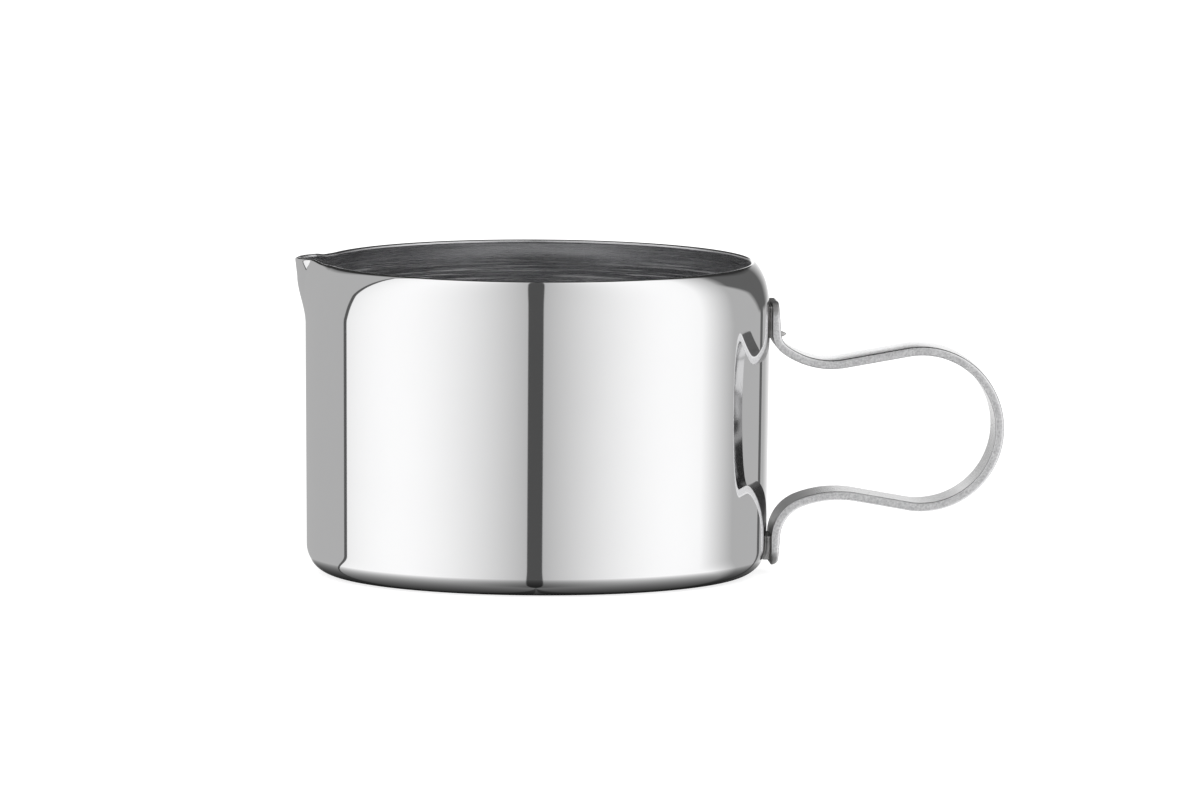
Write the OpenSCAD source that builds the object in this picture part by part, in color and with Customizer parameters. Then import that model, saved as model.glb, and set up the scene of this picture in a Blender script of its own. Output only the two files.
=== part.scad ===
// Small polished cream jug: a drawn sheet-metal cup with a pinched pouring lip,
// and a bent strip handle spot-welded to its side.
// Origin: centre of the flat base, on the cup's axis. +Z is up, the handle points to +X,
// the pouring lip to -X, a few degrees round towards +Y.

/* [Cup] */
// Outside diameter at the top of the straight wall
body_d = 70.3; // [66:0.1:74]
// Outside diameter that the straight wall tapers to at the base
base_d = 69.6; // [64:0.1:74]
// Height from the resting face to the top of the round lip
cup_h = 47.4; // [46:0.1:49]
// Thickness of the sheet
sheet = 0.8; // [0.6:0.05:1]
// Outside radius of the corner between base and wall
corner_r = 4.4; // [3:0.1:7]
// Height at which the wall starts to lean in
shoulder_z = 39.9; // [38.5:0.1:40.5]
// Radius of the gentle start of the shoulder, at mid-sheet
gentle_r = 15.6; // [12:0.1:20]
// Angle over which the gentle radius runs
gentle_angle = 15; // [10:1:20]
// Radius of the tighter bend up to the lip, at mid-sheet
lip_bend_r = 7.6; // [6.5:0.1:10]

/* [Pouring lip] */
// How far the pinched lip stands out past the wall
beak_out = 1.2; // [0.5:0.05:2]
// Height at which the pinch starts in the wall
beak_z = 38; // [37.5:0.1:39]
// Height over which the pinch comes out
beak_rise = 6.9; // [5:0.1:8]
// Outward lean of the pinch above that, as a slope
beak_lean = 0.12; // [0:0.01:0.3]
// Turn of the pinch about the cup's axis, away from facing straight along -X and towards +Y
beak_turn = 4.4; // [-8:0.2:8]
// Angle from the middle of the pinch to where it has faded into the round rim
beak_half_angle = 20; // [16:0.5:20]
// Angle from the middle of the pinch at which it starts to fade
beak_full_angle = 3; // [0:0.5:6]
// Angle from the middle of the pinch to the crease at the foot of its flank
beak_crease = 7.5; // [5:0.5:10]
// Share of the pinch that stands in front of the creases
beak_sharp = 0.44; // [0.3:0.02:0.8]
// Fullness of the nose: 1 is a straight-sided point, larger is rounder
beak_fullness = 1.6; // [1.2:0.05:2.4]
// How far the rim rises at the pinch, which straightens the sheet's inward bend
beak_lift = 0.36; // [0:0.02:0.6]

/* [Handle] */
// Width of the strip
strip_w = 9; // [7:0.5:11]
// Thickness of the strip
strip_t = 1.4; // [1:0.1:1.8]
// Distance from the cup's axis to the face of the feet
foot_x = 35.35; // [35.25:0.05:36]
// Height of the upper foot's end
upper_end_z = 41.4; // [41:0.1:42.5]
// Height of the lower foot's end
lower_end_z = 1.4; // [1:0.1:2.5]
// Length of the upper foot's straight stretch
upper_foot_len = 4.75; // [4:0.05:6]
// Radius of the tight bend below the upper foot
upper_tight_r = 3; // [2.5:0.1:4]
// Angle of that tight bend
upper_tight_angle = 54; // [45:1:60]
// Radius of the sweep that follows it into the upper arm
upper_wide_r = 12; // [10:0.5:13]
// Length of the straight upper arm
upper_arm_len = 9.7; // [6:0.1:12]
// Radius of the loop at mid-strip
loop_r = 11.9; // [10:0.1:12]
// Angle by which both arms slope towards the middle of the loop
arm_slope = 10; // [4:1:14]
// Radius of the sweep that starts the lower arm's turn
lower_wide_r = 16; // [12:0.5:18]
// Angle of that sweep
lower_wide_angle = 31; // [25:1:40]
// Radius of the tighter bend into the lower foot
lower_tight_r = 5.8; // [5:0.1:7]
// Angle at which the outside of each foot thins towards its end
foot_taper = 4.5; // [0:0.5:5]
// Corner radius of the feet
foot_corner_r = 1.8; // [0.5:0.1:3]

/* [Spot welds] */
// Width of the fused patch between each foot and the cup
patch_w = 7.4; // [6:0.2:8.4]
// Height of the upper patch's lower edge
upper_patch_z = 35.6; // [35.4:0.1:36.6]
// Height of the upper patch from its lower to its upper edge
upper_patch_h = 5.2; // [4:0.1:5.4]
// Height of the lower patch's lower edge
lower_patch_z = 2; // [2:0.1:2.6]
// Height of the lower patch from its lower to its upper edge
lower_patch_h = 4; // [3:0.1:4.2]
// Radius of the bead of spatter in the hollow of the upper bend
spatter_r = 0.5; // [0.3:0.05:0.6]
// How far round that bend the bead sits, as an angle
spatter_angle = 8; // [5:1:20]
// How far the bead sits from the middle of the strip's width
spatter_side = 2.25; // [1:0.25:3]

/* [Hidden] */
$fn = 96;

// ---- Cup profile: a mid-sheet line, thickened by half the sheet on each side ----
half_sheet = sheet / 2;
wall_top_r = body_d / 2 - half_sheet;
wall_foot_r = base_d / 2 - half_sheet;
corner_mid_r = corner_r - half_sheet;
lip_z = cup_h - half_sheet;
gentle_top_z = shoulder_z + gentle_r * sin(gentle_angle);
// Centre of the tighter bend
bend_z = shoulder_z + (gentle_r - lip_bend_r) * sin(gentle_angle);
bend_x = wall_top_r - gentle_r + (gentle_r - lip_bend_r) * cos(gentle_angle);
wall_slope = (wall_top_r - wall_foot_r) / (shoulder_z - corner_r);

// Mid-sheet radius of the round cup at height z, from the corner's top upwards
function wall_r(z) =
    z <= shoulder_z ? wall_foot_r + wall_slope * (z - corner_r) :
    z <= gentle_top_z ? wall_top_r - gentle_r + sqrt(pow(gentle_r, 2) - pow(z - shoulder_z, 2)) :
    bend_x + sqrt(pow(lip_bend_r, 2) - pow(z - bend_z, 2));

// Heights of the profile's rings from low to top, closer together towards the top
function ring_z(low, count, top = lip_z) = [for (i = [0:count]) top - (top - low) * pow(1 - i / count, 1.5)];

// ---- Pouring lip: the round profile pushed outwards by a beak ----
function smooth(u) = u <= 0 ? 0 : u >= 1 ? 1 : u * u * (3 - 2 * u);
function beak_tip_r(z) = wall_top_r + beak_out * smooth((z - beak_z) / beak_rise)
    + beak_lean * max(0, z - beak_z - beak_rise);
function beak_blend(a) = beak_sharp * (1 - pow(min(1, abs(a) / beak_crease), beak_fullness))
    + (1 - beak_sharp) * smooth((beak_half_angle - abs(a)) / (beak_half_angle - beak_full_angle));
function skin_r(a, z) = wall_r(z)
    + max(0, beak_tip_r(z) - wall_r(z)) * beak_blend(a) * smooth((z - beak_z) * 2);

// Mid-sheet height of the lip at angle a: the lift fades between these shares of the beak's width
lift_full = 0.38;
lift_gone = 0.72;
function lip_top(a) = lip_z
    + beak_lift * smooth((lift_gone - abs(a) / beak_half_angle) / (lift_gone - lift_full));

// Unit normal of the mid-sheet line in the plane at angle a, pointing outwards
step = 0.01;
function skin_slope(a, z) = (skin_r(a, z) - skin_r(a, z - step)) / step;
function skin_normal(a, z) = let (s = skin_slope(a, z), n = sqrt(1 + s * s)) [1 / n, -s / n];
function skin_point(a, z, off) = [skin_r(a, z), z] + off * skin_normal(a, z);

// Section of the sheet at angle a: outside going up, round lip, inside coming down
lip_steps = 6;
function lip_round(a, off) = let (top = lip_top(a), n = skin_normal(a, top), mid = [skin_r(a, top), top])
    [for (i = [1:lip_steps - 1]) let (t = 180 * i / lip_steps)
        mid + off * (n * cos(t) + [-n[1], n[0]] * sin(t))];
function outside_line(a, heights, off) = [for (z = heights) skin_point(a, z, off)];
function inside_line(a, heights, off) =
    [for (i = [len(heights) - 1:-1:0]) skin_point(a, heights[i], -off)];

// Quarter arc of the base corner, from the flat base up to the wall
corner_steps = 12;
function corner_arc(r) = [for (i = [0:corner_steps]) let (t = 90 * i / corner_steps)
    [wall_foot_r - corner_mid_r + r * sin(t), corner_r - r * cos(t)]];
function reverse(list) = [for (i = [len(list) - 1:-1:0]) list[i]];

function cup_section() = let (heights = ring_z(shoulder_z - 2, 14), plain = 180) concat(
    [[0, 0]], corner_arc(corner_r), outside_line(plain, heights, half_sheet),
    lip_round(plain, half_sheet), inside_line(plain, heights, half_sheet),
    reverse(corner_arc(corner_r - sheet)), [[0, sheet]]);

// Solid of the cup's outside, to trim what is welded to it
module cup_outside() {
    rotate_extrude($fn = 256)
        polygon(concat([[0, 0]], corner_arc(corner_r),
            outside_line(180, ring_z(shoulder_z - 2, 14), half_sheet), [[0, lip_z]]));
}

// The beak is cut out of the round cup as a window and put back as a freeform patch.
// The patch reaches past the window, inside the sheet, so that the two join.
window_half_angle = beak_half_angle + 2;
patch_half_angle = window_half_angle + 0.6;
window_low_z = beak_z - 1;
patch_low_z = window_low_z - 0.4;
patch_inset = 0.01;
patch_columns = 70;
patch_rings = 11;

module beak_window() {
    reach = body_d;
    translate([0, 0, window_low_z]) linear_extrude(cup_h)
        polygon([[0, 0], for (s = [1, -1]) reach * [-cos(window_half_angle), s * sin(window_half_angle)]]);
}

module beak_patch() {
    off = half_sheet - patch_inset;
    sections = [for (c = [0:patch_columns])
        let (a = patch_half_angle * (2 * c / patch_columns - 1),
            heights = ring_z(patch_low_z, patch_rings, lip_top(a)))
        [for (p = concat(outside_line(a, heights, off), lip_round(a, off), inside_line(a, heights, off)))
            [-p[0] * cos(a), p[0] * sin(a), p[1]]]];
    m = len(sections[0]);
    last = patch_columns * m;
    skin = [for (c = [0:patch_columns - 1], i = [0:m - 1])
        let (j = (i + 1) % m, a = c * m + i, b = c * m + j, d = a + m, e = b + m)
        each [[a, e, b], [a, d, e]]];
    // Each end is closed by a ladder of triangles between the outside and the inside
    ends = [for (i = [0:(m - 3) / 2]) let (a = i, b = i + 1, e = m - 2 - i, d = m - 1 - i)
        each [[a, b, e], [a, e, d], [last + a, last + e, last + b], [last + a, last + d, last + e]]];
    whole = [for (f = ends) if (f[0] != f[1] && f[1] != f[2] && f[2] != f[0]) f];
    polyhedron([for (s = sections) each s], concat(skin, whole));
}

module cup() color([0.78, 0.78, 0.79]) union() {
    difference() {
        rotate_extrude() polygon(cup_section());
        rotate(-beak_turn) beak_window();
    }
    rotate(-beak_turn) beak_patch();
}

// ---- Handle: one flat strip, bent in its own thickness ----
// The bends in order from the upper foot: [straight stretch before, radius, angle].
// Radii are at mid-strip. An angle is positive where the strip turns left, seen from -Y.
strip_x = foot_x + strip_t / 2;
upper_tight = [upper_foot_len, upper_tight_r, upper_tight_angle];
upper_wide = [0, upper_wide_r, 90 + arm_slope - upper_tight_angle];
loop = [upper_arm_len, loop_r, -(180 + 2 * arm_slope)];
lower_tight = [0, lower_tight_r, 90 + arm_slope - lower_wide_angle];

// Strip stations [x, z, heading] from bend i on, starting at station s
bend_step = 5;
function bent(s, r, turn) = [s[0] + sign(turn) * r * (sin(s[2] + turn) - sin(s[2])),
    s[1] - sign(turn) * r * (cos(s[2] + turn) - cos(s[2])), s[2] + turn];
function ahead(s, length) = [s[0] + length * cos(s[2]), s[1] + length * sin(s[2]), s[2]];
function stations(bends, s, i = 0) = i == len(bends) ? [] :
    let (b = bends[i], start = ahead(s, b[0]), n = ceil(abs(b[2]) / bend_step))
    concat([for (k = [b[0] == 0 ? 1 : 0:n]) bent(start, b[1], b[2] * k / n)],
        stations(bends, bent(start, b[1], b[2]), i + 1));

// The lower arm is as long as it must be to bring the lower foot under the upper one
first = [strip_x, upper_end_z, -90];
no_arm = stations([upper_tight, upper_wide, loop, [0, lower_wide_r, lower_wide_angle], lower_tight], first);
lower_arm_len = (no_arm[len(no_arm) - 1][0] - strip_x) / cos(arm_slope);
lower_wide = [lower_arm_len, lower_wide_r, lower_wide_angle];
bent_line = stations([upper_tight, upper_wide, loop, lower_wide, lower_tight], first);
mid_line = concat([first], bent_line, [[strip_x, lower_end_z, -90]]);
function beside(s, off) = [s[0] - off * sin(s[2]), s[1] + off * cos(s[2])];
strip_outline = concat([for (s = mid_line) beside(s, strip_t / 2)],
    [for (s = reverse(mid_line)) beside(s, -strip_t / 2)]);

// Height at which the lower foot's straight stretch starts
lower_foot_top = bent_line[len(bent_line) - 1][1];
// How far a cutting shape reaches past what it cuts
over = 1;

// Wedge that thins the outside of a foot of this length towards its end at height z.
// up is 1 for the upper foot and -1 for the lower one.
module foot_wedge(z, length, up) {
    translate([foot_x + strip_t, 0, z - up * length]) mirror([0, 0, up > 0 ? 0 : 1])
        rotate([0, -foot_taper, 0]) translate([0, -strip_w / 2 - over, 0])
            cube([strip_t, strip_w + 2 * over, length + over]);
}

// What is cut away to round the two corners of a foot's end
module foot_corners(z, up) {
    r = foot_corner_r;
    for (side = [-1, 1]) translate([foot_x - over, side * (strip_w / 2 - r), z - up * r])
        rotate([0, 90, 0]) difference() {
            mirror([up > 0 ? 1 : 0, 0, 0]) mirror([0, side > 0 ? 0 : 1, 0])
                cube([r + over, r + over, strip_t + 2 * over]);
            translate([0, 0, -over]) cylinder(r = r, h = strip_t + 4 * over);
        }
}

module handle() color([0.8, 0.8, 0.81]) difference() {
    translate([0, strip_w / 2, 0]) rotate([90, 0, 0]) linear_extrude(strip_w) polygon(strip_outline);
    foot_wedge(upper_end_z, upper_foot_len, 1);
    foot_wedge(lower_end_z, lower_foot_top - lower_end_z, -1);
    foot_corners(upper_end_z, 1);
    foot_corners(lower_end_z, -1);
}

// ---- Spot welds: a fused patch that fills the gap between each foot and the cup ----
module weld_patch(z, height) {
    depth = 2; // More than the gap; the cup's outside cuts off the rest
    difference() {
        translate([foot_x - depth, -patch_w / 2, z]) cube([depth, patch_w, height]);
        cup_outside();
    }
}

// The bead sits on the concave side of the bend, a few degrees past the foot
module spatter() {
    spot = bent(ahead(first, upper_foot_len), upper_tight_r, spatter_angle);
    p = beside(spot, strip_t / 2);
    difference() {
        translate([p[0], -spatter_side, p[1]]) sphere(spatter_r);
        handle();
    }
}

module upper_welds() color([0.25, 0.25, 0.26]) {
    weld_patch(upper_patch_z, upper_patch_h);
    spatter();
}
module lower_welds() color([0.25, 0.25, 0.26]) weld_patch(lower_patch_z, lower_patch_h);

cup();
handle();
upper_welds();
lower_welds();
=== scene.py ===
"""A small mirror-polished cream jug on a plain pale floor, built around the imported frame.

Shapes are worked out in millimetres, in the frame's axes: +Z up along the cup's axis,
+X towards the handle, -X towards the pouring lip, which is pressed a few degrees round
towards +Y.
"""
import math

import bpy
from mathutils import Matrix, Vector, noise


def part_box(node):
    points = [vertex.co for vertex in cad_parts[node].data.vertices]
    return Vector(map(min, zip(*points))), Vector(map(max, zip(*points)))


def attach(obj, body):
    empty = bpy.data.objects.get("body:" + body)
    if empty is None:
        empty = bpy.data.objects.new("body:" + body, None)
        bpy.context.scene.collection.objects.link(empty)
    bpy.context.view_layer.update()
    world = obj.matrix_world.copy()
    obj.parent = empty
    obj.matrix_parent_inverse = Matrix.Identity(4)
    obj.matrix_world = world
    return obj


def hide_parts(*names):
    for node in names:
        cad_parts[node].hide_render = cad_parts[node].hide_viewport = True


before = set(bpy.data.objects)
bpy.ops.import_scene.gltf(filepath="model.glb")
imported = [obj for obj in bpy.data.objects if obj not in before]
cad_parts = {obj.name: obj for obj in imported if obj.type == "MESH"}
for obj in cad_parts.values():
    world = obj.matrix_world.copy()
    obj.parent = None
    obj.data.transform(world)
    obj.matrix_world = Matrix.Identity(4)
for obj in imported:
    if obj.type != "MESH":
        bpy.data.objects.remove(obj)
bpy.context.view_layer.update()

cup_lo, cup_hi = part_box("cup")
strip_lo, strip_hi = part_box("handle")
MM = 0.001

# ---- Cup: a mid-sheet line, thickened by half the sheet on each side ----
SHEET = 0.8
HALF = SHEET / 2
BODY_R = cup_hi.y / MM
BASE_R = BODY_R - 0.35
CORNER_R = 4.4
SHOULDER_Z = 39.9
GENTLE_R = 15.6
GENTLE_ANGLE = math.radians(15)
LIP_BEND_R = 7.6
CUP_H = 47.4
LIP_Z = CUP_H - HALF
WALL_TOP_R = BODY_R - HALF
WALL_FOOT_R = BASE_R - HALF
GENTLE_TOP_Z = SHOULDER_Z + GENTLE_R * math.sin(GENTLE_ANGLE)
BEND_Z = SHOULDER_Z + (GENTLE_R - LIP_BEND_R) * math.sin(GENTLE_ANGLE)
BEND_X = WALL_TOP_R - GENTLE_R + (GENTLE_R - LIP_BEND_R) * math.cos(GENTLE_ANGLE)
WALL_SLOPE = (WALL_TOP_R - WALL_FOOT_R) / (SHOULDER_Z - CORNER_R)

# ---- Pouring lip: the round profile pushed outwards ----
BEAK_OUT = 1.2
BEAK_Z = 38
BEAK_RISE = 6.9
BEAK_LEAN = 0.12
BEAK_TURN = 4.4
BEAK_HALF_ANGLE = 20
BEAK_FULL_ANGLE = 3
BEAK_CREASE = 7.5
BEAK_SHARP = 0.44
BEAK_FULLNESS = 1.6
BEAK_LIFT = cup_hi.z / MM - CUP_H
# The lift fades out between these shares of the beak's width
LIFT_FULL = 0.38
LIFT_GONE = 0.72

# ---- Handle: one flat strip, bent in its own thickness ----
STRIP_T = 1.4
STRIP_W = (strip_hi.y - strip_lo.y) / MM
FOOT_X = strip_lo.x / MM
UPPER_END_Z = strip_hi.z / MM
LOWER_END_Z = strip_lo.z / MM
UPPER_FOOT = 4.75
UPPER_BEND_R = 3
UPPER_BEND_ANGLE = 54
UPPER_HUMP_R = 12
UPPER_ARM = 9.7
LOOP_R = 11.9
LOWER_HUMP_R = 16
LOWER_HUMP_ANGLE = 31
LOWER_BEND_R = 5.8
ARM_SLOPE = 10
FOOT_TAPER = math.tan(math.radians(4.5))
FOOT_CORNER_R = 1.8

# Rise of the crowned outer face over its edges
CROWN = 0.08

# ---- Spot welds: electrode marks on the feet, and dark fused patches behind them that are also painted shade for the gap between foot and cup ----
WELD_Y = 2.1
UPPER_WELD_Z = 38.6
LOWER_WELD_Z = 4.2
PATCH_W = 7.4
UPPER_PATCH_Z = 35.6
UPPER_PATCH_H = 5.2
LOWER_PATCH_Z = 2
LOWER_PATCH_H = 4

# ---- Camera and studio ----
VIEW_AZIMUTH = -4.3
VIEW_ELEVATION = 6.04
VIEW_ROLL = 0.35
VIEW_DISTANCE = 3000
LENS = 595.5
AIM_RIGHT = 9.53
AIM_Z = 26.25


def smooth(u):
    u = min(1, max(0, u))
    return u * u * (3 - 2 * u)


def wall_r(z):
    """Mid-sheet radius of the round cup at height z, from the corner's top upwards."""
    if z <= SHOULDER_Z:
        return WALL_FOOT_R + WALL_SLOPE * (z - CORNER_R)
    if z <= GENTLE_TOP_Z:
        return WALL_TOP_R - GENTLE_R + math.sqrt(GENTLE_R**2 - (z - SHOULDER_Z) ** 2)
    return BEND_X + math.sqrt(LIP_BEND_R**2 - (z - BEND_Z) ** 2)


def beak_blend(a):
    """How much of the beak there is at a degrees from its middle."""
    front = 1 - min(1, abs(a) / BEAK_CREASE) ** BEAK_FULLNESS
    fade = (BEAK_HALF_ANGLE - abs(a)) / (BEAK_HALF_ANGLE - BEAK_FULL_ANGLE)
    return BEAK_SHARP * front + (1 - BEAK_SHARP) * smooth(fade)


def lip_top(a):
    """Mid-sheet height of the lip at a degrees from the beak's middle."""
    share = abs(a) / BEAK_HALF_ANGLE
    return LIP_Z + BEAK_LIFT * smooth((LIFT_GONE - share) / (LIFT_GONE - LIFT_FULL))


def skin_r(a, z):
    """Mid-sheet radius at a degrees from the beak's middle and height z."""
    round_r = wall_r(z)
    tip_r = WALL_TOP_R + BEAK_OUT * smooth((z - BEAK_Z) / BEAK_RISE)
    tip_r += BEAK_LEAN * max(0, z - BEAK_Z - BEAK_RISE)
    return round_r + max(0, tip_r - round_r) * beak_blend(a) * smooth((z - BEAK_Z) * 2)


def skin_normal(a, z):
    step = 0.01
    slope = (skin_r(a, z) - skin_r(a, z - step)) / step
    size = math.hypot(1, slope)
    return 1 / size, -slope / size


def skin_point(a, z, off):
    r = skin_r(a, z)
    nr, nz = skin_normal(a, z)
    return r + off * nr, z + off * nz


def arc(centre_r, centre_z, radius, steps):
    """Quarter arc from straight below its centre up to straight outwards."""
    turns = [math.pi / 2 * i / steps for i in range(steps + 1)]
    return [(centre_r + radius * math.sin(t), centre_z - radius * math.cos(t)) for t in turns]


def wall_heights(lip):
    """Heights of the wall's rings up to the lip, close together where the curve changes."""
    low = [CORNER_R + d for d in (0.12, 0.35, 0.9, 2.5, 6, 12, 18, 24, 28, 31, 32.6)]
    curved_z, steps = 37.6, 44
    rise = lip - curved_z
    return low + [curved_z + rise * (i / steps) for i in range(steps + 1)]


def cup_section(a):
    """Closed line round the sheet at a degrees from the beak, from axis to axis."""
    lip_z = lip_top(a)
    heights = wall_heights(lip_z)
    floor_r = WALL_FOOT_R - (CORNER_R - HALF)
    discs = [floor_r * f for f in (0.1, 0.3, 0.5, 0.7, 0.85, 0.95, 0.99)]
    outer_corner = arc(floor_r, CORNER_R, CORNER_R, 28)
    inner_corner = arc(floor_r, CORNER_R, CORNER_R - SHEET, 20)
    outside = [(r, 0) for r in discs] + outer_corner + [skin_point(a, z, HALF) for z in heights]
    inside = [skin_point(a, z, -HALF) for z in reversed(heights)] + inner_corner[::-1]
    inside += [(r, SHEET) for r in reversed(discs)]
    nr, nz = skin_normal(a, lip_z)
    mid = skin_r(a, lip_z)
    lip = []
    for i in range(1, 12):
        t = math.pi * i / 12
        out, up = HALF * math.cos(t), HALF * math.sin(t)
        lip.append((mid + out * nr - up * nz, lip_z + out * nz + up * nr))
    return outside + lip + inside, len(outside) + len(lip) // 2


def mesh_object(name, points, faces):
    mesh = bpy.data.meshes.new(name)
    mesh.from_pydata([Vector(p) * MM for p in points], [], faces)
    mesh.polygons.foreach_set("use_smooth", [True] * len(mesh.polygons))
    mesh.validate()
    piece = bpy.data.objects.new(name, mesh)
    bpy.context.collection.objects.link(piece)
    return piece


def store(piece, name, values):
    """Keeps one number per vertex, for the materials."""
    piece.data.attributes.new(name, "FLOAT", "POINT").data.foreach_set("value", values)


def make_cup():
    """The whole drawn shell as one skin, its columns closest together round the beak."""
    beak_reach, beak_columns, round_columns = 21, 132, 240
    angles = [beak_reach * (2 * i / beak_columns - 1) for i in range(beak_columns)]
    rest = 360 - 2 * beak_reach
    angles += [beak_reach + rest * i / round_columns for i in range(round_columns)]
    angles = [a - 360 if a > 180 else a for a in angles]
    points, inside = [(0, 0, 0), (0, 0, SHEET)], [0.0, 1.0]
    for a in angles:
        section, lip_at = cup_section(a)
        turned = math.radians(a + BEAK_TURN)
        points += [(-r * math.cos(turned), r * math.sin(turned), z) for r, z in section]
        inside += [0.0 if i <= lip_at else 1.0 for i in range(len(section))]
    m, faces = len(section), []
    for c in range(len(angles)):
        here, there = 2 + c * m, 2 + (c + 1) % len(angles) * m
        faces += [(here + i, here + i + 1, there + i + 1, there + i) for i in range(m - 1)]
        faces += [(0, here, there), (1, there + m - 1, here + m - 1)]
    cup = mesh_object("polished_cup", points, faces)
    store(cup, "inside", inside)
    return cup


def bend(radius, turn):
    return radius * math.radians(abs(turn)), turn


def strip_bends():
    """The strip's stretches in order from the upper foot, as (length, turn in degrees)."""
    before = [(UPPER_FOOT, 0), bend(UPPER_BEND_R, UPPER_BEND_ANGLE)]
    before += [bend(UPPER_HUMP_R, 90 - UPPER_BEND_ANGLE + ARM_SLOPE), (UPPER_ARM, 0)]
    before += [bend(LOOP_R, -180 - 2 * ARM_SLOPE)]
    after = [bend(LOWER_HUMP_R, LOWER_HUMP_ANGLE)]
    after += [bend(LOWER_BEND_R, 90 - LOWER_HUMP_ANGLE + ARM_SLOPE)]
    start_x = path_at(0, before)[0]
    overshoot = path_at(math.inf, before + after)[0] - start_x
    arm = overshoot / math.cos(math.radians(ARM_SLOPE))
    line = before + [(arm, 0)] + after
    foot = path_at(math.inf, line)[1] - LOWER_END_Z
    return line + [(foot, 0)], foot


def path_at(distance, stretches):
    """Mid-strip x, z and heading at a distance from the upper foot's end."""
    x, z, heading = FOOT_X + STRIP_T / 2, UPPER_END_Z, -math.pi / 2
    for length, turn in stretches:
        part = min(length, distance)
        if turn:
            side = math.copysign(1, turn)
            radius = length / math.radians(abs(turn))
            after = heading + math.radians(turn) * part / length
            x += side * radius * (math.sin(after) - math.sin(heading))
            z -= side * radius * (math.cos(after) - math.cos(heading))
            heading = after
        else:
            x += part * math.cos(heading)
            z += part * math.sin(heading)
        distance -= part
        if distance <= 0:
            break
    return x, z, heading


def rounded(distance, radius):
    """How far a corner of this radius is cut back at a distance from the end."""
    if distance >= radius:
        return 0
    return radius - math.sqrt(radius**2 - (radius - distance) ** 2)


def strip_section(half_w, inner, outer):
    """Closed line round the strip as (y, off, cut edge, rounded edge)."""
    outer_r, inner_r = 0.42, 0.26
    fit = min(1, 0.96 * (outer - CROWN - inner) / (outer_r + inner_r))
    ro, ri = outer_r * fit, inner_r * fit
    face_steps, corner_steps = 44, 6
    line = []
    for i in range(face_steps):
        across = 2 * i / face_steps - 1
        line.append(((half_w - ro) * across, outer - CROWN * across**2, 0, 0))
    for i in range(corner_steps + 1):
        t = math.pi / 2 * i / corner_steps
        off = outer - CROWN - ro + ro * math.cos(t)
        line.append((half_w - ro + ro * math.sin(t), off, i / corner_steps, 1))
    for i in range(corner_steps + 1):
        t = math.pi / 2 * i / corner_steps
        line.append((half_w - ri + ri * math.cos(t), inner + ri - ri * math.sin(t), 1 - i / corner_steps, 1))
    mirrored = [(-y, off, cut, edge) for y, off, cut, edge in line[face_steps:]][::-1]
    back = [((half_w - ri) * (1 - 2 * i / face_steps), inner, 0, 0) for i in range(1, face_steps)]
    return line + back + mirrored[:-1]


def weld_dent(y, along_foot):
    """Depth of the round electrode marks on the outer face of a foot."""
    deepest, reach = 0.13, 1.25
    apart = math.hypot(abs(y) - WELD_Y, along_foot)
    return deepest * smooth((reach - apart) / 0.45)


def make_handle():
    stretches, lower_foot = strip_bends()
    total = sum(length for length, turn in stretches)
    near_end = [1 - math.cos(math.pi / 2 * i / 9) for i in range(9)]
    ends = [FOOT_CORNER_R * e for e in near_end]
    steps = 300
    middle = [FOOT_CORNER_R + (total - 2 * FOOT_CORNER_R) * i / steps for i in range(steps + 1)]
    distances = ends + middle + [total - e for e in reversed(ends)]
    upper_end_edge, lower_end_edge, inner_end_edge = 0.22, 0.9, 0.15
    points, cut, along, across, under, end = [], [], [], [], [], []
    for d in distances:
        x, z, heading = path_at(d, stretches)
        from_end = min(d, total - d)
        foot = UPPER_FOOT if d < total / 2 else lower_foot
        end_edge = upper_end_edge if d < total / 2 else lower_end_edge
        outer = STRIP_T / 2 - FOOT_TAPER * max(0, foot - from_end) - rounded(from_end, end_edge)
        inner = -STRIP_T / 2 + rounded(from_end, inner_end_edge)
        half_w = STRIP_W / 2 - rounded(from_end, FOOT_CORNER_R)
        weld_at = UPPER_END_Z - UPPER_WELD_Z if d < total / 2 else LOWER_WELD_Z - LOWER_END_Z
        for y, off, is_cut, is_edge in strip_section(half_w, inner, outer):
            if not is_edge and off > 0:
                off -= weld_dent(y, from_end - weld_at)
            points.append((x - off * math.sin(heading), y, z + off * math.cos(heading)))
            cut.append(is_cut)
            along.append(d)
            across.append(y)
            under.append((outer - off) / (outer - inner))
            end.append(from_end)
    m, faces = len(points) // len(distances), []
    for c in range(len(distances) - 1):
        here, there = c * m, (c + 1) * m
        for i in range(m):
            j = (i + 1) % m
            faces.append((here + i, there + i, there + j, here + j))
    faces += [tuple(range(m)), tuple(range(len(points) - 1, len(points) - 1 - m, -1))]
    handle = mesh_object("strip_handle", points, faces)
    store(handle, "cut", cut)
    store(handle, "along", along)
    store(handle, "across", across)
    store(handle, "under", under)
    store(handle, "end", end)
    return handle


def outer_r(z):
    """Outside radius of the round cup at height z."""
    if z < CORNER_R:
        return WALL_FOOT_R + HALF - CORNER_R + math.sqrt(CORNER_R**2 - (CORNER_R - z) ** 2)
    nr, nz = skin_normal(180, z)
    return wall_r(z) + HALF / nr


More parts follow.
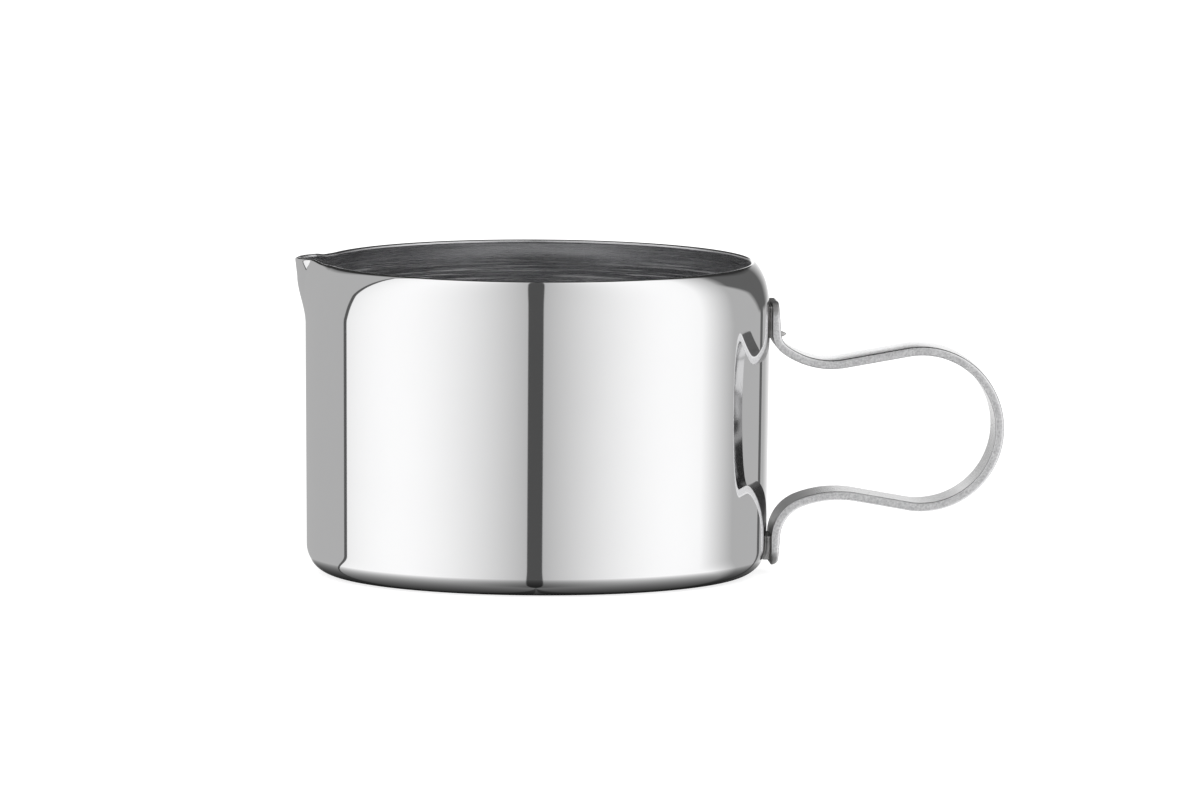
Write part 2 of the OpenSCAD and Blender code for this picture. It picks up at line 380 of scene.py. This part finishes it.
def weld_and_shade_patch(low_z, height, seed):
    """Fused metal between a foot and the cup: it follows the cup and has uneven edges, and its dark grey is
    also painted shade filling the gap between them.
    """
    columns, rows, ragged = 40, 30, 0.35
    points = []
    for face in (0, 1):
        for k in range(rows + 1):
            up = 2 * k / rows - 1
            for i in range(columns + 1):
                side = 2 * i / columns - 1
                wave = noise.noise(Vector((2.5 * side, 2.5 * up, seed))) - 1
                y = side * (PATCH_W / 2 + ragged * (0.6 * wave + 0.6 * face - 0.6) * abs(side))
                z = low_z + height / 2 + up * (height / 2 + ragged * 0.6 * wave * abs(up))
                back = math.sqrt(outer_r(z) ** 2 - y * y) - 0.03
                points.append((FOOT_X + 0.03 if face else back, y, z))
    m, layer, faces = columns + 1, (rows + 1) * (columns + 1), []
    for k in range(rows):
        for i in range(columns):
            a = k * m + i
            faces.append((a, a + m, a + m + 1, a + 1))
            faces.append((layer + a, layer + a + 1, layer + a + m + 1, layer + a + m))
    for i in range(columns):
        a, b = i, rows * m + i
        faces.append((a, a + 1, layer + a + 1, layer + a))
        faces.append((b, layer + b, layer + b + 1, b + 1))
    for k in range(rows):
        a, b = k * m, k * m + columns
        faces.append((a, layer + a, layer + a + m, a + m))
        faces.append((b, b + m, layer + b + m, layer + b))
    return points, faces


def bead(x, y, z, radius, reach, seed):
    """A small uneven ball of weld spatter, drawn out towards +X into a spur."""
    rings, spokes = 22, 32
    spur_way = Vector((1, 0, 0.05)).normalized()
    points = []
    for i in range(rings + 1):
        t = math.pi * i / rings
        for k in range(spokes):
            p = 2 * math.pi * k / spokes
            out = Vector((math.sin(t) * math.cos(p), math.sin(t) * math.sin(p), math.cos(t)))
            swell = 1 + 0.12 * noise.noise(out * 1.6 + Vector((seed, 0, 0)))
            spur = reach * max(0, out.dot(spur_way)) ** 5
            points.append(tuple(Vector((x, y, z)) + out * radius * swell + spur_way * spur))
    faces = []
    for i in range(rings):
        for k in range(spokes):
            n = (k + 1) % spokes
            a, b = i * spokes, (i + 1) * spokes
            faces.append((a + k, b + k, b + n, a + n))
    return points, faces


def join(parts):
    points, faces = [], []
    for some_points, some_faces in parts:
        base = len(points)
        points += some_points
        faces += [tuple(base + i for i in f) for f in some_faces]
    return points, faces


def make_upper_welds_and_shade():
    stretches, _ = strip_bends()
    bead_angle, bead_r, spur = 6, 0.42, 0.42
    past_foot = UPPER_BEND_R * math.radians(bead_angle)
    x, z, heading = path_at(UPPER_FOOT + past_foot, stretches)
    side = STRIP_T / 2
    spot = (x - side * math.sin(heading), -STRIP_W / 4, z + side * math.cos(heading))
    parts = [weld_and_shade_patch(UPPER_PATCH_Z, UPPER_PATCH_H, 1.3), bead(*spot, bead_r, spur, 3)]
    return mesh_object("upper_welds_and_gap_shade", *join(parts))


def make_lower_welds_and_shade():
    return mesh_object("lower_welds_and_gap_shade", *weld_and_shade_patch(LOWER_PATCH_Z, LOWER_PATCH_H, 4.7))


# ---- Materials ----
class Nodes:
    """Short calls to add and link nodes in one tree."""

    def __init__(self, tree):
        self.tree = tree
        tree.nodes.clear()

    def add(self, kind, inputs=None, **settings):
        made = self.tree.nodes.new(kind)
        for name, value in settings.items():
            setattr(made, name, value)
        for name, value in (inputs or {}).items():
            if isinstance(value, bpy.types.NodeSocket):
                self.tree.links.new(value, made.inputs[name])
            else:
                made.inputs[name].default_value = value
        return made

    def math(self, operation, a, b=0.0, clamp=False):
        return self.add("ShaderNodeMath", {0: a, 1: b}, operation=operation, use_clamp=clamp).outputs[0]

    def mix(self, factor, a, b):
        made = self.add("ShaderNodeMix", {"Factor": factor, "A": a, "B": b}, data_type="FLOAT")
        return made.outputs[0]

    def colour(self, factor, a, b):
        made = self.add("ShaderNodeMix", {0: factor, 6: (*a, 1), 7: (*b, 1)}, data_type="RGBA")
        return made.outputs[2]

    def remap(self, value, low, high, to_low=0.0, to_high=1.0):
        inputs = {0: value, 1: low, 2: high, 3: to_low, 4: to_high}
        return self.add("ShaderNodeMapRange", inputs, clamp=True).outputs[0]

    def noise(self, where, scale, detail=2.0, rough=0.5):
        inputs = {"Vector": where, "Scale": scale, "Detail": detail, "Roughness": rough}
        return self.add("ShaderNodeTexNoise", inputs).outputs[0]

    def turned(self, turn_x, turn_y, rise, short, fine):
        """Noise drawn out round the axis, as turning marks: short sets their length, fine their height."""
        x, y = self.math("MULTIPLY", turn_x, short), self.math("MULTIPLY", turn_y, short)
        return self.noise(self.vector(x, y, self.math("MULTIPLY", rise, fine)), 1.0, 3.0, 0.6)

    def attribute(self, name):
        return self.add("ShaderNodeAttribute", attribute_name=name).outputs["Fac"]

    def point(self):
        """Object position in millimetres, as (vector, x, y, z)."""
        where = self.add("ShaderNodeTexCoord").outputs["Object"]
        vector = self.add("ShaderNodeVectorMath", {0: where, 3: 1 / MM}, operation="SCALE").outputs[0]
        parts = self.add("ShaderNodeSeparateXYZ", {0: vector}).outputs
        return vector, parts[0], parts[1], parts[2]

    def vector(self, x, y, z):
        return self.add("ShaderNodeCombineXYZ", {0: x, 1: y, 2: z}).outputs[0]

    def bump(self, height, strength, distance):
        inputs = {"Height": height, "Strength": strength, "Distance": distance}
        return self.add("ShaderNodeBump", inputs).outputs[0]

    def steel(self, colour, rough, normal, **more):
        inputs = {"Base Color": colour, "Metallic": 1.0, "Roughness": rough, "Normal": normal}
        inputs.update(more)
        shader = self.add("ShaderNodeBsdfPrincipled", inputs)
        self.add("ShaderNodeOutputMaterial", {"Surface": shader.outputs[0]})


def new_material(name):
    material = bpy.data.materials.new(name)
    material.use_nodes = True
    return material, Nodes(material.node_tree)


def cup_steel():
    """Mirror polish outside, fine turned brushing inside."""
    material, n = new_material("cup_steel")
    where, x, y, z = n.point()
    inside = n.attribute("inside")
    smudge = n.noise(where, 0.09, 3.0, 0.55)
    radius = n.math("SQRT", n.math("ADD", n.math("MULTIPLY", x, x), n.math("MULTIPLY", y, y)))
    radius = n.math("MAXIMUM", radius, 0.5)
    rise = n.math("SUBTRACT", z, radius)
    turn_x, turn_y = n.math("DIVIDE", x, radius), n.math("DIVIDE", y, radius)
    fine = n.turned(turn_x, turn_y, rise, 5.0, 9.0)
    broad = n.turned(turn_x, turn_y, rise, 2.0, 2.2)
    brushing = n.math("ADD", n.math("MULTIPLY", fine, 0.6), n.math("MULTIPLY", broad, 0.4))
    # Stray tool marks, most of them low on the wall, that scatter light
    marks = n.remap(n.turned(turn_x, turn_y, rise, 2.4, 5.0), 0.52, 0.62)
    low_wall = n.remap(z, 46.0, 42.6, 0.06, 1.0)
    marks = n.math("MULTIPLY", n.math("MULTIPLY", marks, low_wall), inside)
    polish = n.mix(smudge, 0.02, 0.04)
    satin = n.remap(brushing, 0.3, 0.7, 0.16, 0.36)
    rough = n.mix(inside, polish, satin)
    bright = n.colour(smudge, (0.93, 0.93, 0.935), (0.9, 0.9, 0.905))
    streak = n.remap(brushing, 0.38, 0.68)
    dull = n.colour(streak, (0.45, 0.45, 0.46), (0.8, 0.8, 0.81))
    tint = n.add("ShaderNodeMix", {0: inside, 6: bright, 7: dull}, data_type="RGBA").outputs[2]
    height = n.math("MULTIPLY", n.math("MULTIPLY", brushing, inside), 0.5)
    tangent = n.add("ShaderNodeTangent", direction_type="RADIAL", axis="Z").outputs[0]
    turned = n.math("MULTIPLY", inside, 0.6)
    metal = n.math("SUBTRACT", 1.0, n.math("MULTIPLY", marks, 0.8))
    normal = n.bump(height, 0.25, 0.1 * MM)
    n.steel(tint, rough, normal, Metallic=metal, Anisotropic=turned, Tangent=tangent)
    return material


def strip_steel():
    """Polished faces with lengthwise satin streaks, ground grey cut edges, and painted shade between each
    foot and the cup and round each foot's end.
    """
    material, n = new_material("strip_steel")
    where, x, y, z = n.point()
    cut, under, end = n.attribute("cut"), n.attribute("under"), n.attribute("end")
    along, across = n.attribute("along"), n.attribute("across")
    streak_at = n.vector(n.math("MULTIPLY", along, 0.12), n.math("MULTIPLY", across, 5.0), 0.0)
    streak = n.noise(streak_at, 1.0, 3.0, 0.6)
    grain = n.noise(where, 3.4, 4.0, 0.72)
    smudge = n.noise(where, 0.35, 2.0, 0.5)
    facing_cup = n.remap(under, 0.5, 0.9)
    face_rough = n.math("ADD", n.remap(streak, 0.3, 0.7, 0.06, 0.13), n.math("MULTIPLY", smudge, 0.05))
    cut_rough = n.remap(grain, 0.3, 0.7, 0.32, 0.6)
    face_rough = n.mix(facing_cup, face_rough, 0.18)
    rough = n.mix(cut, face_rough, cut_rough)
    face = n.colour(streak, (0.84, 0.84, 0.85), (0.94, 0.94, 0.945))
    dull = n.colour(streak, (0.58, 0.58, 0.585), (0.72, 0.72, 0.725))
    face = n.add("ShaderNodeMix", {0: facing_cup, 6: face, 7: dull}, data_type="RGBA").outputs[2]
    edge = n.colour(n.remap(grain, 0.36, 0.64), (0.66, 0.66, 0.67), (0.95, 0.95, 0.955))
    tint = n.add("ShaderNodeMix", {0: cut, 6: face, 7: edge}, data_type="RGBA").outputs[2]
    # Painted shade: dark grey, and rougher, between foot and cup and round the end of each foot
    patchy = n.math("MULTIPLY", n.noise(where, 0.9, 3.0, 0.6), 1.6)
    near_weld = n.math("ADD", n.remap(end, 6.4, 5.2, 0.0, 0.4), n.remap(end, 17.0, 9.0, 0.0, 0.55))
    gap = n.math("MULTIPLY", n.remap(under, 0.8, 0.97), near_weld)
    gap = n.math("MULTIPLY", gap, n.remap(cut, 0.7, 0.2))
    tip = n.math("MULTIPLY", n.remap(n.math("ADD", end, patchy), 3.2, 2.0), n.remap(under, 0.12, 0.3))
    painted_shade = n.math("MAXIMUM", gap, n.math("MULTIPLY", tip, 0.85))
    # The dark grey painted shade goes into the strip's colour here
    shaded_tint = n.add("ShaderNodeMix", {0: painted_shade, 6: tint, 7: (0.32, 0.317, 0.315, 1)}, data_type="RGBA")
    rough = n.mix(painted_shade, rough, 0.6)
    height = n.mix(cut, n.math("MULTIPLY", streak, 0.2), grain)
    normal = n.bump(height, 0.45, 0.08 * MM)
    n.steel(shaded_tint.outputs[2], rough, normal)
    return material


def weld_and_gap_shade_steel():
    """Grey metal with an uneven crust, tinted dark by the welding; on the fused patches the dark grey is
    also painted shade for the gap between foot and cup.
    """
    material, n = new_material("weld_and_gap_shade_steel")
    where, x, y, z = n.point()
    crust = n.noise(where, 5.0, 4.0, 0.6)
    # Dark grey crust: on the patches behind the feet this is painted shade for the gap
    tint = n.colour(crust, (0.4, 0.395, 0.39), (0.75, 0.745, 0.74))
    n.steel(tint, n.remap(crust, 0.3, 0.7, 0.35, 0.65), n.bump(crust, 0.5, 0.1 * MM))
    return material


# ---- Studio ----
# Directions are in degrees to the right of the camera's own direction, as seen from the jug,
# and levels are brightness.
# Two equal soft panels stand beside the camera, brightest in the middle
PANEL_MIDDLE = 75
PANEL_INNER = 0.45
PANEL_GLOW = 0.6
# The dark gap between the panels
GAP_MIDDLE = -0.5
GAP_HALF = 3.5
GAP_DARK = 0.08
# The left panel ends at a thin black frame, the right one fades into the side wall
FRAME_MIDDLE = -110
FRAME_HALF = 1
FRAME_DARK = 0.1
FADE_FROM, FADE_TO = 90, 115
SIDE_WALL = 0.45
# Every hard edge is this soft
EDGE = 0.5
# A dark post behind the jug on the right, much wider above the level where the wall looks
POST_FROM, POST_TO = 146, 150
POST_DARK = 0.12
HIGH_FROM, HIGH_TO = -0.075, -0.05
HIGH_SIDE = 115
# The white backdrop behind the jug
BACKDROP = 1.05
LEFT_BACKDROP = -169
BACKDROP_FROM, BACKDROP_TO = 155, 178
# The wide part darkens between these directions, and is only there right of HIGH_SIDE
WIDE_FROM, WIDE_FULL = 143, 147
HIGH_SOFT = 4
# How far the edges of the studio's sides lean inwards with height, in degrees per unit
HIGH_LEAN = 62
LEFT_LEAN = 14
# The left side's lean comes and goes between these directions
LEAN_FROM, LEAN_FULL = -60, -100
LEAN_LESS, LEAN_GONE = -135, -165
CEILING_DARK = 0.03
CEILING_UP = 50
CEILING_REACH = 42
CEILING_EDGE = 4
# How fast the panels spread sideways towards the ceiling and the floor
PANEL_SPREAD = 0.8
# How fast the floor's edge behind the jug draws in below the horizon, and how far at most
FLOOR_EDGE = 2.7
FLOOR_LEAST = 0.05
# What surfaces other than mirrors are lit by
PLAIN_LIGHT = 1.1
# The shade under the jug clears from the middle outwards, by radius in mm, slowly at first
SHADE_FROM, SHADE_TO = 28, 37
SHADE_POWER = 4
SHADE_REACH = 46


def band(n, value, middle, half):
    """0 inside a band and 1 outside it, with soft edges."""
    off = n.math("ABSOLUTE", n.math("SUBTRACT", value, middle))
    return n.remap(off, half, half + EDGE)


def panels(n, turn):
    """The two soft panels, the gap between them and the side walls they end at."""
    swing = n.math("MULTIPLY", n.math("ABSOLUTE", turn), math.pi / 2 / PANEL_MIDDLE)
    glow = n.math("MULTIPLY", n.math("SINE", swing), PANEL_GLOW)
    level = n.math("ADD", glow, PANEL_INNER)
    level = n.mix(band(n, turn, GAP_MIDDLE, GAP_HALF), GAP_DARK, level)
    level = n.mix(n.remap(turn, FRAME_MIDDLE, FRAME_MIDDLE - EDGE), level, SIDE_WALL)
    level = n.mix(band(n, turn, FRAME_MIDDLE, FRAME_HALF), FRAME_DARK, level)
    return n.mix(n.remap(turn, FADE_FROM, FADE_TO), level, SIDE_WALL)


def along_axis(n, way, axis):
    return n.add("ShaderNodeVectorMath", {0: way, 1: axis}, operation="DOT_PRODUCT").outputs["Value"]


def make_world():
    """The studio that mirror surfaces see: panels, side walls, post, backdrop and dark ceiling."""
    world = bpy.data.worlds.new("studio")
    bpy.context.scene.world = world
    world.use_nodes = True
    n = Nodes(world.node_tree)
    way = n.add("ShaderNodeTexCoord").outputs["Generated"]
    turned = Matrix.Rotation(math.radians(VIEW_AZIMUTH), 3, "Z")
    right = along_axis(n, way, turned @ Vector((1, 0, 0)))
    ahead = along_axis(n, way, turned @ Vector((0, 1, 0)))
    up = n.add("ShaderNodeSeparateXYZ", {0: way}).outputs[2]
    # Below the horizon, what is behind the jug starts at a straight edge on the floor
    below = n.math("MINIMUM", up, 0.0)
    keep = n.math("SUBTRACT", 1.0, n.math("MULTIPLY", n.math("MULTIPLY", below, below), FLOOR_EDGE))
    behind = n.math("MULTIPLY", n.math("MAXIMUM", ahead, 0.0), n.math("MAXIMUM", keep, FLOOR_LEAST))
    ahead = n.math("ADD", behind, n.math("MINIMUM", ahead, 0.0))
    turn = n.math("ARCTAN2", right, n.math("MULTIPLY", ahead, -1.0))
    turn = n.math("DEGREES", turn)
    level_run = n.math("SQRT", n.math("SUBTRACT", 1.0, n.math("MULTIPLY", up, up)))
    shrink = n.math("SUBTRACT", 1.0, n.math("POWER", level_run, PANEL_SPREAD))
    nearness = n.math("SUBTRACT", 1.0, n.math("DIVIDE", n.math("ABSOLUTE", turn), 180.0))
    turn = n.math("MULTIPLY", turn, n.math("SUBTRACT", 1.0, n.math("MULTIPLY", shrink, nearness)))
    rise = n.math("MAXIMUM", n.math("SUBTRACT", up, HIGH_FROM), 0.0)
    left = n.math("MULTIPLY", n.remap(turn, LEAN_FROM, LEAN_FULL), n.remap(turn, LEAN_GONE, LEAN_LESS))
    left_lean = n.math("MULTIPLY", n.math("MULTIPLY", rise, LEFT_LEAN), left)
    walls = panels(n, n.math("SUBTRACT", turn, left_lean))
    post_middle, post_half = (POST_FROM + POST_TO) / 2, (POST_TO - POST_FROM) / 2
    walls = n.mix(band(n, turn, post_middle, post_half), POST_DARK, walls)
    walls = n.mix(n.remap(turn, LEFT_BACKDROP, LEFT_BACKDROP - EDGE), walls, BACKDROP)
    white = n.remap(turn, BACKDROP_FROM, BACKDROP_TO)
    walls = n.mix(white, walls, BACKDROP)
    leaning = n.math("ADD", turn, n.math("MULTIPLY", rise, HIGH_LEAN))
    high = n.mix(n.remap(leaning, WIDE_FROM, WIDE_FULL), SIDE_WALL, POST_DARK)
    high = n.mix(white, high, BACKDROP)
    right_side = n.remap(turn, HIGH_SIDE - HIGH_SOFT, HIGH_SIDE + HIGH_SOFT)
    is_high = n.math("MULTIPLY", n.remap(up, HIGH_FROM, HIGH_TO), right_side)
    walls = n.mix(is_high, walls, high)
    tilt = math.radians(CEILING_UP)
    middle = turned @ Vector((0, math.cos(tilt), math.sin(tilt)))
    lean = along_axis(n, way, middle)
    outer, inner = math.radians(CEILING_REACH), math.radians(CEILING_REACH - CEILING_EDGE)
    ceiling = n.remap(lean, math.cos(outer), math.cos(inner))
    level = n.mix(ceiling, walls, CEILING_DARK)
    ray = n.add("ShaderNodeLightPath").outputs
    seen = n.mix(ray["Is Glossy Ray"], PLAIN_LIGHT, level)
    shader = n.add("ShaderNodeBackground", {"Color": seen, "Strength": 1.0})
    n.add("ShaderNodeOutputWorld", {"Surface": shader.outputs[0]})


def make_floor():
    """Plain pale floor. The jug's mirror surfaces see the studio's panels instead of it."""
    reach = 4000
    corners = [(-reach, -reach, 0), (reach, -reach, 0), (reach, reach, 0), (-reach, reach, 0)]
    floor = mesh_object("floor", corners, [(0, 1, 2, 3)])
    material, n = new_material("pale_floor")
    colour = (0.45, 0.45, 0.45, 1)
    inputs = {"Base Color": colour, "Roughness": 1.0, "Specular IOR Level": 0.0}
    inputs.update({"Emission Color": (1, 1, 1, 1), "Emission Strength": 0.8})
    shader = n.add("ShaderNodeBsdfPrincipled", inputs)
    n.add("ShaderNodeOutputMaterial", {"Surface": shader.outputs[0]})
    floor.data.materials.append(material)
    floor.visible_glossy = False


def make_base_shade():
    """The shade under the jug, which only its base corner reflects: it dims what is behind it."""
    spokes, below_base = 96, -0.05
    turns = [2 * math.pi * k / spokes for k in range(spokes)]
    rim = [(SHADE_REACH * math.cos(t), SHADE_REACH * math.sin(t), below_base) for t in turns]
    shade = mesh_object("base_shade", rim, [tuple(range(spokes))])
    material, n = new_material("base_shade")
    where, x, y, z = n.point()
    radius = n.math("SQRT", n.math("ADD", n.math("MULTIPLY", x, x), n.math("MULTIPLY", y, y)))
    open_share = n.math("POWER", n.remap(radius, SHADE_FROM, SHADE_TO), SHADE_POWER)
    clear = n.add("ShaderNodeBsdfTransparent", {0: open_share})
    n.add("ShaderNodeOutputMaterial", {"Surface": clear.outputs[0]})
    shade.data.materials.append(material)
    shade.visible_camera = shade.visible_diffuse = shade.visible_shadow = shade.visible_transmission = False


def make_camera():
    a, e = math.radians(VIEW_AZIMUTH), math.radians(VIEW_ELEVATION)
    back = Vector((math.sin(a) * math.cos(e), -math.cos(a) * math.cos(e), math.sin(e)))
    right = Vector((math.cos(a), math.sin(a), 0))
    aim = (right * AIM_RIGHT + Vector((0, 0, AIM_Z))) * MM
    data = bpy.data.cameras.new("camera")
    data.lens, data.sensor_width = LENS, 36
    data.clip_start, data.clip_end = 0.1, 20
    camera = bpy.data.objects.new("camera", data)
    bpy.context.collection.objects.link(camera)
    camera.location = aim + back * VIEW_DISTANCE * MM
    facing = (-back).to_track_quat("-Z", "Y").to_matrix()
    roll = Matrix.Rotation(math.radians(VIEW_ROLL), 3, "Z")
    camera.rotation_mode = "QUATERNION"
    camera.rotation_quaternion = (facing @ roll).to_quaternion()
    bpy.context.scene.camera = camera


def finish_piece(piece, node, material):
    piece.data.materials.append(material)
    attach(piece, "root")
    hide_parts(node)


make_camera()
make_world()
make_floor()
make_base_shade()
weld = weld_and_gap_shade_steel()
finish_piece(make_cup(), "cup", cup_steel())
finish_piece(make_handle(), "handle", strip_steel())
# Weld pieces: spatter and dark patches, the patches also painted shade behind each foot
finish_piece(make_upper_welds_and_shade(), "upper_welds", weld)
finish_piece(make_lower_welds_and_shade(), "lower_welds", weld)
bpy.context.scene.view_settings.view_transform = "Standard"
